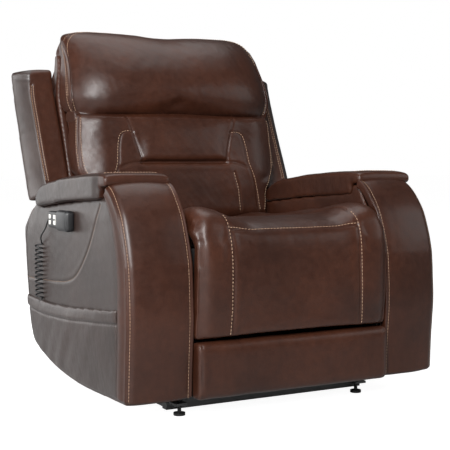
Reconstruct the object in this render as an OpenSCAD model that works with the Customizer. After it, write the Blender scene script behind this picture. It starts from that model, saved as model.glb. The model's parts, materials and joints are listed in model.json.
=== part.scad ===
// Lift recliner chair: an upholstered armchair on a tilting lift base, with a reclining back,
// a tilting headrest, a swing-out footrest with a sliding lower panel, and a wired handset.
// Millimetres. +Z is up, the sitter faces -Y, and the sitter's right arm is on the -X side.

/* [Overall] */
// Width over the two arms
chair_w = 950; // [930:5:980]
// Width of one arm
arm_w = 174; // [170:1:176]
// Height of the arms' bottom edge above the floor
arm_bottom = 58; // [50:1:62]

/* [Seat] */
// Height of the seat at its front crest
seat_crest = 525; // [515:1:535]
// Height of the seat in the hollow in front of the back
seat_hollow = 500; // [490:1:505]
// Height of the seat cushion's underside
seat_under = 443; // [441:1:450]

/* [Back] */
// Lean of the frame behind the back cushion, in degrees from vertical
back_lean = 21.4; // [21:0.1:22]
// Height of the top of the headrest pillow
pillow_top = 1060; // [1040:5:1070]
// Height of the crease between back cushion and headrest pillow
crease_z = 796; // [790:1:800]

/* [Lift linkage] */
// Length of the main lift link between its pivots
main_link = 300; // [299:0.5:301]
// Length of the guide link between its pivots
guide_link = 298; // [297:0.5:299]
// Angle of the main link below level when the chair is down, in degrees
main_drop = 38; // [37.5:0.1:38.5]

/* [Handset] */
// Length of the handset
handset_l = 148; // [140:1:155]
// Width of the handset
handset_w = 46; // [40:1:50]

/* [Hidden] */
$fn = 48;

// Running clearance of every shaft in its hole, on the radius.
run = 0.05;
// Distance from the drafting origin to the middle of the chair's depth. Every part is drawn
// with y = 0 at the foot of the arm fronts and moved by this much, so that the row's origin is
// under the middle of the chair.
mid_y = 435;

half_w = chair_w / 2;
arm_in = half_w - arm_w;
leather = [0.30, 0.18, 0.145];
steel = [0.09, 0.09, 0.10];
wood = [0.72, 0.56, 0.38];

// Lift linkage pivots, in (y, z).
pivot_a = [282, 265.5];
pivot_b = [282.6, 300];
pivot_c = pivot_a + main_link * [cos(main_drop), -sin(main_drop)];
guide_drop = 34.7;
pivot_d = pivot_b + guide_link * [cos(guide_drop), -sin(guide_drop)];
lift_lever = 70;
lift_lever_angle = -127.5;
lift_pin = pivot_a + lift_lever * [cos(lift_lever_angle), sin(lift_lever_angle)];

// Back pivot, lever and pin.
back_pivot = [645, 418];
back_lever = 90;
back_pin = back_pivot + back_lever * [cos(-65), sin(-65)];

// Footrest pivot, lever and pin. The rod climbs forward by this slope.
foot_pivot = [-5, 478];
foot_lever = 100;
foot_slope = 15;
foot_pin = foot_pivot + foot_lever * [cos(-61), sin(-61)];

headrest_pivot = [684, crease_z];
hinge_r = 5;

// Lift links' inner face and plate thickness, and the carriage rails' height.
link_x = 274;
link_t = 6;
rail_bottom = 322;
rail_top = 352;
shaft_r = 8;

// Front and rear levelling feet.
foot_side = 281;
foot_y = [96, 704];

// Half widths of the upholstered parts and of the boards under them.
seat_half = 289;
footboard_half = 292;
board_half = 272;
back_half = 345;
wing_out = 460;

// Height of the deck under the arm pad's front end.
deck_z = 590;

// Drive axes: lift actuator height, back actuator place and height, footrest actuator place.
lift_axis_z = 203;
back_x = 60;
back_rod_z = 332;
foot_x = -60;
// Guide tubes of the sliding lower panel.
guide_x = 120;

// Handset's outer side, front end and middle height, its buttons, and the coiled cord.
handset_x = -half_w + 7.5;
handset_y = 352;
handset_z = 496;
button_y = [446, 482];
button_r = 6;
coil_x = -half_w - 7;
coil_y = 604;
coil_z = 300;
coil_l = 116;

// ---------------------------------------------------------------- helpers

// Moves a part from the drafting origin to the row's origin.
module place() { translate([0, -mid_y, 0]) children(); }

// Extrudes a (y, z) outline along X, from x to x + width.
module slab(x, width) {
    translate([x, 0, 0]) rotate([90, 0, 90]) linear_extrude(width) children();
}

// The same outline on both sides, at equal distances from the middle.
module slab_pair(x, width) {
    slab(x, width) children();
    slab(-x - width, width) children();
}

// A round bar along X.
module bar_x(p, r, x, width) {
    translate([x, p[0], p[1]]) rotate([0, 90, 0]) cylinder(r = r, h = width);
}

// A box given by its two corners.
module block(low, high) { translate(low) cube(high - low); }

// A quarter or other arc of points about a centre, from one angle to another.
function arc(c, r, from, to, steps = 6) =
    [for (i = [0:steps]) let (a = from + (to - from) * i / steps) c + r * [cos(a), sin(a)]];

// A round-ended strap between two (y, z) points.
module strap(p, q, w) {
    along = atan2(q[1] - p[1], q[0] - p[0]);
    polygon(concat(arc(q, w / 2, along - 90, along + 90, 10), arc(p, w / 2, along + 90, along + 270, 10)));
}

// Distance behind y = 0 of the back frame's middle plane, at a height.
function frame_y(z) = 660 + (z - 436) * tan(back_lean);

// ---------------------------------------------------------------- base

module base_frame() color(steel) place() {
    for (side = [-1, 1]) {
        block([side * 285 - 15, 116, 12], [side * 285 + 15, 684, 42]);
        for (y = foot_y)
            difference() {
                block([side * 285 - 17, y - 20, 28], [side * 285 + 17, y + 20, 34]);
                translate([side * foot_side, y, 20]) cylinder(r = 5 + run, h = 20);
            }
    }
    block([-309, 115, 12], [309, 140, 42]);
    block([-309, 660, 12], [309, 685, 42]);
    block([-271, 175, 12], [271, 200, 42]);
    difference() {
        slab_pair(284, 5)
            polygon([[250, 40], [340, 40], [300, 270], [298, 316], [267, 316], [265, 270]]);
        bar_x(pivot_a, shaft_r, -300, 600);
        bar_x(pivot_b, shaft_r, -300, 600);
    }
    block([-14, 176, 42], [14, 199, 182]);
}

module base_pins() color("silver") place()
    for (p = [pivot_a, pivot_b])
        for (side = [0, 1])
            mirror([side, 0, 0]) {
                bar_x(p, shaft_r - run, 270, 19);
                bar_x(p, 12, 289.5, 4);
            }

module power_supply() color([0.12, 0.12, 0.13]) place()
    block([-62, 600, 42.5], [62, 655, 84]);

module lift_actuator() color([0.16, 0.16, 0.17]) place() {
    difference() {
        union() {
            translate([0, 112, lift_axis_z]) rotate([-90, 0, 0]) cylinder(r = 20, h = 96);
            translate([0, 136, 138]) cylinder(r = 19, h = 65);
            block([-13, 176, 182.5], [13, 199, lift_axis_z]);
        }
        translate([0, 118, lift_axis_z]) rotate([-90, 0, 0]) cylinder(r = 9 + run, h = 120);
    }
}

// A rod with a slotted fork at its end. The origin is the lever pin's place at rest, the rod
// runs along -Y, and the slot stands across it, from slot_low to slot_high.
module slotted_rod(rod_z, slot_low, slot_high, length, pin_r) {
    slot_half = pin_r + 2.8;
    slab_pair(7, 6)
        difference() {
            translate([-18, slot_low - 9]) square([36, slot_high - slot_low + 18]);
            strap([0, slot_low + slot_half], [0, slot_high - slot_half], 2 * slot_half);
        }
    block([-13, -26, rod_z - 13], [13, -18, rod_z + 13]);
    translate([0, -26, rod_z]) rotate([90, 0, 0]) cylinder(r = 9, h = length);
}

module lift_rod() color("silver") place()
    translate([0, lift_pin[0], lift_pin[1]])
        slotted_rod(lift_axis_z - lift_pin[1], -26, 12, 92, 6);

module level_foot(side, y) color([0.13, 0.13, 0.13]) place()
    translate([side * foot_side, y, 0]) {
        cylinder(r = 15.5, h = 7);
        cylinder(r = 5, h = 47);
    }

module level_foot_front_right() { level_foot(-1, foot_y[0]); }
module level_foot_front_left() { level_foot(1, foot_y[0]); }
module level_foot_rear_right() { level_foot(-1, foot_y[1]); }
module level_foot_rear_left() { level_foot(1, foot_y[1]); }

module lift_link_main() color(steel) place() {
    difference() {
        slab_pair(link_x, link_t) {
            strap(pivot_a, pivot_c, 20);
            translate(pivot_a) circle(14);
            translate(pivot_c) circle(14);
        }
        bar_x(pivot_a, shaft_r, -300, 600);
        bar_x(pivot_c, shaft_r, -300, 600);
    }
    difference() {
        bar_x(pivot_a, 14, -link_x, 2 * link_x);
        bar_x(pivot_a, 10, -link_x - 1, 2 * link_x + 2);
    }
    difference() {
        slab(-4, 8) strap(pivot_a, lift_pin, 18);
        bar_x(pivot_a, 12, -6, 12);
    }
    bar_x(lift_pin, 6, -14, 28);
}

module lift_link_guide() color(steel) place()
    difference() {
        slab_pair(link_x, link_t) {
            strap(pivot_b, pivot_d, 20);
            translate(pivot_b) circle(13);
            translate(pivot_d) circle(16);
        }
        bar_x(pivot_b, shaft_r, -300, 600);
        // The open pivot: its eye has room for the coupled motion.
        bar_x(pivot_d, 11, -300, 600);
    }

// ---------------------------------------------------------------- seat carriage

module carriage_frame() color(steel) place() {
    for (side = [-1, 1])
        block([side * 251 - 11, 62, rail_bottom], [side * 251 + 11, 640, rail_top]);
    block([-300, 80, rail_bottom], [300, 110, rail_top]);
    block([-300, 560, rail_top], [300, 588, rail_top + 26]);
    difference() {
        slab_pair(261.5, link_t + 0.5)
            polygon(concat([[430, rail_top - 1], [624, rail_top - 1], [624, rail_bottom]],
                arc([548, 82], 18, 20, -70), arc([512, 82], 18, -110, -180), [[430, 300]]));
        for (p = [pivot_c, pivot_d]) bar_x(p, shaft_r, -300, 600);
    }
    difference() {
        slab_pair(239, link_t + 1)
            polygon(concat([[602, rail_bottom + 2], [637, rail_bottom + 2]],
                arc(back_pivot, 18, -10, 190, 12), [[602, rail_top - 2]]));
        bar_x(back_pivot, 10, -300, 600);
    }
    difference() {
        slab_pair(150, link_t) {
            strap([95, 345], [40, 474], 22);
            strap([42, 475], foot_pivot, 20);
        }
        bar_x(foot_pivot, 6, -300, 600);
    }
}

module carriage_pins() color("silver") place()
    for (side = [0, 1])
        mirror([side, 0, 0]) {
            bar_x(pivot_c, shaft_r - run, 262, 21);
            bar_x(pivot_c, 12, 257.5, 4);
            bar_x(pivot_d, shaft_r - run, 262, 18);
            bar_x(pivot_d, 12, 257.5, 4);
        }

module seat_box() color(wood) place() {
    for (side = [-1, 1])
        block([side * 251 - 10, 112, rail_top + 0.2], [side * 251 + 10, 556, 436]);
    block([-241, 112, 410], [241, 130, 436]);
    block([-241, 538, 392], [241, 556, 436]);
}

module seat_webbing() color([0.25, 0.24, 0.22]) place()
    for (x = [-180:90:180])
        block([x - 28, 112, 436.5], [x + 28, 556, 439]);

// The cushion's side outline: a rounded front nose, a crest, and a hollow in front of the back.
module seat_outline()
    polygon(concat([[604, seat_under], [604, seat_hollow - 4], [420, seat_hollow - 2],
        [260, seat_hollow + 6]], arc([62, seat_crest - 62], 62, 80, 90, 2),
        arc([30, seat_crest - 52], 52, 100, 160, 5), [[-20, 486], [52, 486], [70, seat_under]]));

module seat_cushion() color(leather) place()
    difference() {
        slab(-seat_half, 2 * seat_half) seat_outline();
        for (side = [-1, 1])
            block([side * 159 - 15, -20, 430], [side * 159 + 15, 118, 496]);
        block([-76, -20, 430], [-44, 118, 470]);
    }

// The arm's side outline. Its top is a deck that carries the arm pad, with a step down behind
// the front panel.
module arm_outline()
    polygon([[100, deck_z], [30, 524], [-12, 384], [-18, 277], [-8, arm_bottom],
        [308, arm_bottom - 5], [540, 72], [700, 118], [744, 208], [758, 261], [780, 462],
        [752, 484], [646, 546], [636, 520], [609, 522], [465, 537], [289, 552], [152, 561],
        [150, deck_z]]);

module arm_side(side) { mirror([side < 0 ? 1 : 0, 0, 0]) children(); }

// Two plywood sides joined by rails.
module arm_frame(side) color(wood) place() arm_side(side) {
    for (x = [316, 428])
        slab(x, 14)
            polygon([[70, 90], [540, 100], [690, 150], [736, 262], [748, 455], [640, 500],
                [90, 530], [70, 470]]);
    for (y = [120, 400, 640])
        block([330, y, 110], [428, y + 20, 300]);
    block([330, 120, 490], [428, 600, 504]);
}
module arm_frame_right() { arm_frame(-1); }
module arm_frame_left() { arm_frame(1); }

// The arm outline's front band, of a given depth.
module front_band(depth)
    difference() {
        arm_outline();
        translate([depth, 0]) arm_outline();
        translate([100 + depth, 0]) square([900, 700]);
        translate([60, 0]) square([900, 500]);
        translate([depth - 8, arm_bottom - 20]) square([900, 30]);
    }

// Front panel with a rounded return that wraps on to the outer side.
module arm_front_panel(side) color(leather) place() arm_side(side) {
    slab(arm_in + 2, half_w - arm_in - 2) front_band(24);
    slab(half_w - 8, 8)
        difference() {
            arm_outline();
            translate([66, 0]) arm_outline();
            translate([140, 0]) square([900, 700]);
            translate([76, 0]) square([900, 470]);
        }
}
module arm_front_panel_right() { arm_front_panel(-1); }
module arm_front_panel_left() { arm_front_panel(1); }

// Outer and inner side panels, cut back behind the front panel.
module side_panel(x, t)
    slab(x, t)
        intersection() {
            difference() {
                arm_outline();
                polygon([[-60, 0], [17, 0], [17, 300], [26, 400], [58, 524], [132, 592],
                    [132, 700], [-60, 700]]);
            }
            square([900, 584]);
        }

module arm_outer_panel(side) color(leather) place() arm_side(side)
    side_panel(half_w - 20, 11.8);
module arm_outer_panel_right() { arm_outer_panel(-1); }
module arm_outer_panel_left() { arm_outer_panel(1); }

module arm_inner_panel(side) color(leather) place() arm_side(side)
    side_panel(arm_in + 1, 11);
module arm_inner_panel_right() { arm_inner_panel(-1); }
module arm_inner_panel_left() { arm_inner_panel(1); }

// Padded armrest on the arm's deck, deeper behind the step, with a rounded front cap.
module arm_pad(side) color(leather) place() arm_side(side)
    slab(arm_in - 3, arm_w + 8)
        polygon(concat(arc([123, 609], 15, 90, 250, 6), [[151, deck_z + 4], [154, 563],
            [289, 554], [465, 539], [609, 524]], arc([622, 545], 20, -80, 60, 5),
            [[570, 592], [373, 614], [247, 624]]));
module arm_pad_right() { arm_pad(-1); }
module arm_pad_left() { arm_pad(1); }

// A hanging pocket on the outer side, thicker where it bulges.
module side_pocket(side) color(leather) place() arm_side(side)
    intersection() {
        slab(half_w - 8, 32)
            polygon([[84, 291], [255, 275], [427, 262], [593, 256], [738, 258], [728, 208],
                [690, 124], [540, 80], [308, 62], [84, 66]]);
        translate([half_w - 8, 60, 60])
            linear_extrude(300)
                polygon([[0, 10], [10, 10], [26, 140], [30, 330], [24, 560], [8, 690], [0, 690]]);
    }
module side_pocket_right() { side_pocket(-1); }
module side_pocket_left() { side_pocket(1); }

module handset_holster() color([0.07, 0.07, 0.08]) place() {
    outer = handset_x - 27.5;
    inner = handset_x - 0.5;
    front = handset_y - 6;
    rear = handset_y + 74;
    low = handset_z - handset_w / 2 - 3.5;
    high = handset_z + handset_w / 2 + 3.5;
    block([outer, front, low], [inner, front + 4, high]);
    for (z = [low, high - 3]) block([outer, front, z], [inner, rear, z + 3]);
    block([outer, front, low], [outer + 3, rear, high]);
}

// Coiled cord, hanging from the handset's end into the pocket.
module coil_cord() color([0.04, 0.04, 0.045]) place()
    translate([coil_x, coil_y, coil_z]) {
        turns = 12;
        pitch = coil_l / turns;
        cylinder(r = 9, h = coil_l + 22);
        for (i = [0:turns - 1])
            translate([0, 0, (i + 0.5) * pitch])
                rotate_extrude() translate([9.6, 0]) circle(3.6);
    }

module rear_skirt() color(leather) place()
    slab(-(arm_in - 4), 2 * (arm_in - 4))
        polygon([[704, 128], [710, 128], [740, 214], [744, 232], [737, 232], [734, 214]]);

// ---------------------------------------------------------------- footrest drive

module foot_actuator() color([0.16, 0.16, 0.17]) place() {
    translate([foot_x, foot_pin[0], foot_pin[1]]) rotate([-foot_slope, 0, 0]) {
        difference() {
            union() {
                translate([0, 30, 0]) rotate([-90, 0, 0]) cylinder(r = 17, h = 186);
                translate([0, 190, -64]) cylinder(r = 17, h = 64);
            }
            translate([0, 29, 0]) rotate([-90, 0, 0]) cylinder(r = 8 + run, h = 180);
        }
    }
    block([foot_x - 7, 84, rail_top + 0.2], [foot_x + 7, 106, rail_top + 11]);
}

module foot_rod() color("silver") place()
    translate([foot_x, foot_pin[0], foot_pin[1]]) rotate([-foot_slope, 0, 0]) {
        slab_pair(7, 5)
            difference() {
                translate([-15, -45]) square([30, 62]);
                strap([0, -31], [0, 3], 17.6);
            }
        block([-12, 15, -12], [12, 23, 12]);
        translate([0, 23, 0]) rotate([-90, 0, 0]) cylinder(r = 8, h = 166);
    }

module back_actuator() color([0.16, 0.16, 0.17]) place()
    translate([back_x, 0, 0]) {
        difference() {
            union() {
                translate([0, 420, back_rod_z]) rotate([-90, 0, 0]) cylinder(r = 18, h = 158);
                translate([0, 440, back_rod_z - 62]) cylinder(r = 17, h = 62);
            }
            translate([0, 426, back_rod_z]) rotate([-90, 0, 0]) cylinder(r = 9 + run, h = 170);
        }
        block([-9, 562, back_rod_z + 14], [9, 577, rail_top - 0.2]);
    }

module back_rod() color("silver") place()
    translate([back_x, back_pin[0], back_pin[1]])
        slotted_rod(back_rod_z - back_pin[1], -18.5, 10, 118, 6);

// ---------------------------------------------------------------- backrest

module back_brackets() color(steel) place() {
    bar_x(back_pivot, 10 - run, -253, 506);
    slab_pair(248, link_t) strap(back_pivot, [frame_y(560) + 2, 560], 28);
    slab(back_x - 4, 8) strap(back_pivot, back_pin, 24);
    bar_x(back_pin, 6, back_x - 14, 28);
}

// A rail across the back frame, centred on the frame's plane.
module frame_rail(z, half, depth)
    translate([-half, frame_y(z), z]) rotate([-back_lean, 0, 0])
        translate([0, -depth / 2, -16]) cube([2 * half, depth, 32]);

module back_frame() color(wood) place() {
    for (side = [-1, 1])
        translate([side * 271 - 16, frame_y(452), 452]) rotate([-back_lean, 0, 0])
            translate([0, -15, 0]) cube([32, 30, 560]);
    frame_rail(470, 236, 24);
    frame_rail(700, 256, 24);
    frame_rail(940, 256, 24);
}

module back_cushion() color(leather) place() {
    front = [[614, 450], [612, 500], [676, crease_z - 8]];
    outline = concat(front, [[frame_y(788) - 24, crease_z - 8], [frame_y(450) - 24, 450]]);
    slab(-seat_half, 2 * seat_half) polygon(outline);
    intersection() {
        slab(-back_half, 2 * back_half) polygon(outline);
        block([-back_half, 500, 606], [back_half, 900, 900]);
    }
}

// A side wing: a deep cushion beside the back, above the arm.
module wing(side) color(leather) place() arm_side(side)
    slab(back_half + 1, wing_out - back_half - 1)
        polygon(concat([[614, 597], [663, 655], [711, 755], [760, 860], [790, 918]],
            arc([812, 912], 21, 150, 60, 4), [[880, 938]], arc([892, 922], 16, 80, -20, 4),
            [[871, 802], [807, 659], [752, 552]]));
module wing_right() { wing(-1); }
module wing_left() { wing(1); }

module back_outer_panel() color(leather) place() {
    slab(-back_half, 2 * back_half)
        polygon([[736, 552], [748, 552], [872, 850], [902, 945], [912, 1012], [900, 1012],
            [890, 947], [860, 852]]);
    slab(1 - seat_half, 2 * seat_half - 2)
        polygon([[740, 310], [747, 310], [748, 553], [736, 553]]);
}

// ---------------------------------------------------------------- headrest

// Hinge rod in the crease, with a strap at each end up to a plate on the headrest board's face.
module headrest_hinge() color(steel) place() {
    bar_x(headrest_pivot, hinge_r - run, -240, 480);
    slab_pair(204, 5) strap(headrest_pivot, headrest_pivot + [40, 20], 14);
    for (side = [-1, 1])
        on_headrest_board() translate([side * 214 - 11, -4.2, 2]) cube([22, 4, 15]);
}

// Eyes that carry the hinge rod, reaching forward from the back frame.
module headrest_brackets() color(steel) place()
    difference() {
        slab_pair(222, 6)
            polygon([[headrest_pivot[0] - 8, crease_z - 6], [frame_y(crease_z) - 14, crease_z - 6],
                [frame_y(crease_z) - 14, crease_z + 4], [headrest_pivot[0] + 8, crease_z + 6],
                [headrest_pivot[0] - 8, crease_z + 6]]);
        bar_x(headrest_pivot, hinge_r, -300, 600);
    }

// The headrest board's plane: its front face, from its lower edge up.
module on_headrest_board()
    translate([0, headrest_pivot[0] + 48, crease_z + 14]) rotate([-back_lean, 0, 0]) children();

module headrest_board() color(wood) place()
    on_headrest_board() translate([-300, 0, 0]) cube([600, 12, 200]);

module headrest_pillow() color(leather) place()
    difference() {
        slab(-back_half, 2 * back_half)
            polygon(concat([[678, crease_z + 5], [700, 880], [740, 970], [775, 1030]],
                arc([818, pillow_top - 40], 40, 130, 60, 6), arc([878, 1014], 18, 60, -30, 4),
                [[880, 990], [840, 990], [headrest_pivot[0] + 72, crease_z + 5]]));
        on_headrest_board() translate([-301, -1, -1]) cube([602, 14, 202]);
        for (side = [-1, 1])
            block([side * 216 - 16, 670, crease_z], [side * 216 + 16, headrest_pivot[0] + 62, crease_z + 34]);
    }

// ---------------------------------------------------------------- footrest

module ottoman_brackets() color(steel) place() {
    bar_x(foot_pivot, 6 - run, -172, 344);
    slab_pair(160, link_t) {
        strap(foot_pivot, [27, 432], 20);
        strap([26, 436], [26, 320], 15);
    }
    slab(foot_x - 4, 8) strap([24, 334], foot_pin, 18);
    bar_x(foot_pin, 6, foot_x - 13, 26);
    for (side = [-1, 1])
        translate([side * guide_x, 28, 226]) difference() {
            cylinder(r = 10, h = 180);
            translate([0, 0, -1]) cylinder(r = 6 + run, h = 182);
        }
}

module ottoman_board() color(wood) place()
    difference() {
        block([-board_half, 2, 222], [board_half, 17, 450]);
        for (side = [-1, 1])
            block([side * 159 - 14, 0, 418], [side * 159 + 14, 20, 460]);
        block([foot_x - 6, 10, 318], [foot_x + 6, 20, 345]);
        block([foot_x - 18, 0, 366], [foot_x + 18, 20, 460]);
    }

module ottoman_pad() color(leather) place()
    slab(-seat_half, 2 * seat_half)
        polygon(concat(arc([-26, 232], 16, 180, 270, 4), [[1.5, 216], [1.5, 450]],
            arc([-22, 432], 18, 90, 180, 4)));

module footboard() color(wood) place()
    block([-board_half, 2, 66], [board_half, 17, 198]);

module footboard_rods() color("silver") place()
    for (side = [-1, 1]) {
        translate([side * guide_x, 28, 90]) cylinder(r = 6, h = 306);
        block([side * guide_x - 14, 17.2, 84], [side * guide_x + 14, 38, 106]);
    }

module footboard_pad() color(leather) place()
    slab(-footboard_half, 2 * footboard_half)
        polygon(concat(arc([-22, 76], 16, 180, 270, 4), [[1.5, 60], [1.5, 205]],
            arc([-22, 189], 16, 90, 180, 4)));

// ---------------------------------------------------------------- handset

module handset() color([0.05, 0.05, 0.055]) place()
    difference() {
        union() {
            translate([handset_x - 23, handset_y, handset_z - handset_w / 2 + 6])
                cube([22, handset_l, handset_w - 12]);
            translate([handset_x - 20, handset_y + 4, handset_z - handset_w / 2])
                cube([16, handset_l - 8, handset_w]);
            translate([handset_x - 12, handset_y + handset_l - 1, handset_z]) rotate([-90, 0, 0])
                cylinder(r = 5, h = 9);
        }
        for (y = button_y)
            for (z = [handset_z - 8, handset_z + 8])
                translate([handset_x - 25, y, z]) rotate([0, 90, 0]) cylinder(r = button_r + run, h = 7);
    }

// A push button in the handset's outer face.
module button(y, z) color([0.82, 0.80, 0.74]) place()
    translate([handset_x - 25, y, z]) rotate([0, 90, 0]) cylinder(r = button_r, h = 5);
module button_recline() { button(button_y[0], handset_z - 8); }
module button_return() { button(button_y[0], handset_z + 8); }
module button_lift() { button(button_y[1], handset_z - 8); }
module button_lower() { button(button_y[1], handset_z + 8); }

base_frame();
base_pins();
power_supply();
lift_actuator();
lift_rod();
level_foot_front_right();
level_foot_front_left();
level_foot_rear_right();
level_foot_rear_left();
lift_link_main();
lift_link_guide();
carriage_frame();
carriage_pins();
seat_box();
seat_webbing();
seat_cushion();
arm_frame_right();
arm_frame_left();
arm_front_panel_right();
arm_front_panel_left();
arm_outer_panel_right();
arm_outer_panel_left();
arm_inner_panel_right();
arm_inner_panel_left();
arm_pad_right();
arm_pad_left();
side_pocket_right();
side_pocket_left();
handset_holster();
coil_cord();
rear_skirt();
foot_actuator();
foot_rod();
back_actuator();
back_rod();
back_brackets();
back_frame();
back_cushion();
wing_right();
wing_left();
back_outer_panel();
headrest_brackets();
headrest_hinge();
headrest_board();
headrest_pillow();
ottoman_brackets();
ottoman_board();
ottoman_pad();
footboard();
footboard_rods();
footboard_pad();
handset();
button_recline();
button_return();
button_lift();
button_lower();
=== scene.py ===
"""The looks of a lift recliner chair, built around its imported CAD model.

Outlines are drawn in millimetres in the drafting frame of the CAD source: x to the sitter's left,
y = 0 at the foot of the arm fronts and growing towards the back, z up from the floor.
"""
import json
import math

import bpy
import numpy as np
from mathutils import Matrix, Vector
from mathutils.bvhtree import BVHTree
from mathutils.kdtree import KDTree


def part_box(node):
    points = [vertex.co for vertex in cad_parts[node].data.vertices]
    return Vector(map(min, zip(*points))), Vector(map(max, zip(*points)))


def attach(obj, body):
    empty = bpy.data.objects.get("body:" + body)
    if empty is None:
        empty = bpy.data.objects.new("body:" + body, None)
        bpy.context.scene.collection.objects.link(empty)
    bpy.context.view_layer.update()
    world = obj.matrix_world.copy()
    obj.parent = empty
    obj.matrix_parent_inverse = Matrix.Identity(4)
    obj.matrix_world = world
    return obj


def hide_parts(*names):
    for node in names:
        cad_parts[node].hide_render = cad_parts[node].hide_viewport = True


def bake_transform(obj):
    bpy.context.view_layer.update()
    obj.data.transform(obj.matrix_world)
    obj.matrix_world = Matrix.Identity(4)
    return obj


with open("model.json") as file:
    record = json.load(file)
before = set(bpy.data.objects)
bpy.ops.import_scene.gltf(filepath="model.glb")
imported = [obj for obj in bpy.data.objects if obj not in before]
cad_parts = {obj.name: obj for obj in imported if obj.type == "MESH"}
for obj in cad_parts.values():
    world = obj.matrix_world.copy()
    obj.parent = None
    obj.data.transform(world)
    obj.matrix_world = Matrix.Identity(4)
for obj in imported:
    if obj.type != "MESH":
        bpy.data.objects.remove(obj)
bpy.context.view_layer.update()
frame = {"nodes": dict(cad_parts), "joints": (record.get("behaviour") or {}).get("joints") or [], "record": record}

# Drafting y of the row's origin, from the back hinge, which is drafted at BACK_HINGE_Y.
BACK_HINGE_Y = 645.0
BACK_HINGE = next(joint["pos_m"] for joint in frame["joints"] if joint["name"] == "back_recline")
MID_Y = BACK_HINGE_Y - 1000 * BACK_HINGE[1]
HALF_W = 1000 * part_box("arm_front_panel_left")[1].x
ARM_IN = 1000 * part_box("arm_front_panel_left")[0].x
SEAT_HALF = 1000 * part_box("ottoman_pad")[1].x
BACK_HALF = 1000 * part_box("headrest_pillow")[1].x
WING_OUT = 1000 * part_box("wing_left")[1].x


# ---------------------------------------------------------------- points and curves

def row(points):
    """Drafting millimetres to metres in the row frame."""
    p = np.asarray(points, float).reshape(-1, 3)
    return (p - [0.0, MID_Y, 0.0]) / 1000.0


def spline(points, steps=8, closed=False):
    """A smooth curve through the points."""
    p = np.asarray(points, float)
    if closed:
        q = np.vstack([p[-1], p, p[0], p[1]])
    else:
        q = np.vstack([2 * p[0] - p[1], p, 2 * p[-1] - p[-2]])
    t = np.linspace(0, 1, steps, endpoint=False)[:, None]
    out = []
    for a, b, c, d in zip(q[:-3], q[1:-2], q[2:-1], q[3:]):
        out.append(0.5 * (2 * b + (c - a) * t + (2 * a - 5 * b + 4 * c - d) * t**2
                          + (3 * b - a - 3 * c + d) * t**3))
    curve = np.vstack(out)
    return curve if closed else np.vstack([curve, p[-1]])


def even(path, step):
    """The path again, with points at equal distances."""
    path = np.asarray(path, float)
    run = np.concatenate([[0], np.cumsum(np.linalg.norm(np.diff(path, axis=0), axis=1))])
    n = max(2, int(round(run[-1] / step)) + 1)
    at = np.linspace(0, run[-1], n)
    return np.stack([np.interp(at, run, path[:, k]) for k in range(path.shape[1])], 1)


def arc(centre, radius, start, stop, steps=6):
    """Points on an arc, with its angles in degrees."""
    a = np.radians(np.linspace(start, stop, steps + 1))
    return [(centre[0] + radius * math.cos(t), centre[1] + radius * math.sin(t)) for t in a]


def sideways(line):
    """Unit normals of a (y, z) line, to the left of its direction."""
    tangent = np.gradient(line, axis=0)
    tangent /= np.linalg.norm(tangent, axis=1)[:, None]
    return np.column_stack([-tangent[:, 1], tangent[:, 0]])


def smoothstep(value, low, high):
    """A soft step from 0 at low to 1 at high, or the other way round if low is above high."""
    t = np.clip((value - low) / (high - low), 0, 1)
    return t * t * (3 - 2 * t)


# ---------------------------------------------------------------- meshes

SEAM_REACH = 40.0  # how far a seam's dent and the swell beside it can reach
SEAM_HOLD = 7.0  # how close to a seam the cover is held while it swells
SWELL_FRAMES = 20
WAVES = 26


def added(name, data):
    """A new object in the scene."""
    obj = bpy.data.objects.new(name, data)
    bpy.context.scene.collection.objects.link(obj)
    return obj


def make(name, points, faces, material=None):
    """A mesh object from drafting points."""
    mesh = bpy.data.meshes.new(name)
    mesh.from_pydata(row(points).tolist(), [], faces)
    mesh.update()
    obj = added(name, mesh)
    if material:
        mesh.materials.append(material)
    return obj


def bake(obj):
    """Applies the object's modifiers."""
    depsgraph = bpy.context.evaluated_depsgraph_get()
    mesh = bpy.data.meshes.new_from_object(obj.evaluated_get(depsgraph))
    old = obj.data
    obj.modifiers.clear()
    obj.data = mesh
    mesh.name = obj.name
    bpy.data.meshes.remove(old)


def coords(obj):
    """The object's points, in drafting millimetres."""
    out = np.empty(len(obj.data.vertices) * 3)
    obj.data.vertices.foreach_get("co", out)
    return out.reshape(-1, 3) * 1000 + [0.0, MID_Y, 0.0]


def place(obj, points):
    """Moves the object's points."""
    obj.data.vertices.foreach_set("co", row(points).ravel())
    obj.data.update()


def normals(obj):
    """The object's normals at its points."""
    out = np.empty(len(obj.data.vertices) * 3)
    obj.data.vertex_normals.foreach_get("vector", out)
    return out.reshape(-1, 3)


def shaded(obj):
    """Smooth shading on every face."""
    obj.data.polygons.foreach_set("use_smooth", [True] * len(obj.data.polygons))
    return obj


def ring_faces(rings, n, flip=False):
    """Faces of a closed skin over rings of n points each, with a cap at both ends."""
    faces = []
    for i in range(rings - 1):
        for k in range(n):
            m = (k + 1) % n
            faces.append((i * n + k, i * n + m, (i + 1) * n + m, (i + 1) * n + k))
    faces.append(tuple(range(n - 1, -1, -1)))
    faces.append(tuple((rings - 1) * n + k for k in range(n)))
    return [face[::-1] for face in faces] if flip else faces


def box_mesh(name, low, high):
    """A plain box, from its two corners."""
    (x0, y0, z0), (x1, y1, z1) = low, high
    points = [(x, y, z) for x in (x0, x1) for y in (y0, y1) for z in (z0, z1)]
    faces = [(0, 1, 3, 2), (4, 6, 7, 5), (0, 4, 5, 1), (2, 3, 7, 6), (0, 2, 6, 4), (1, 5, 7, 3)]
    return make(name, points, faces)


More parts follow.
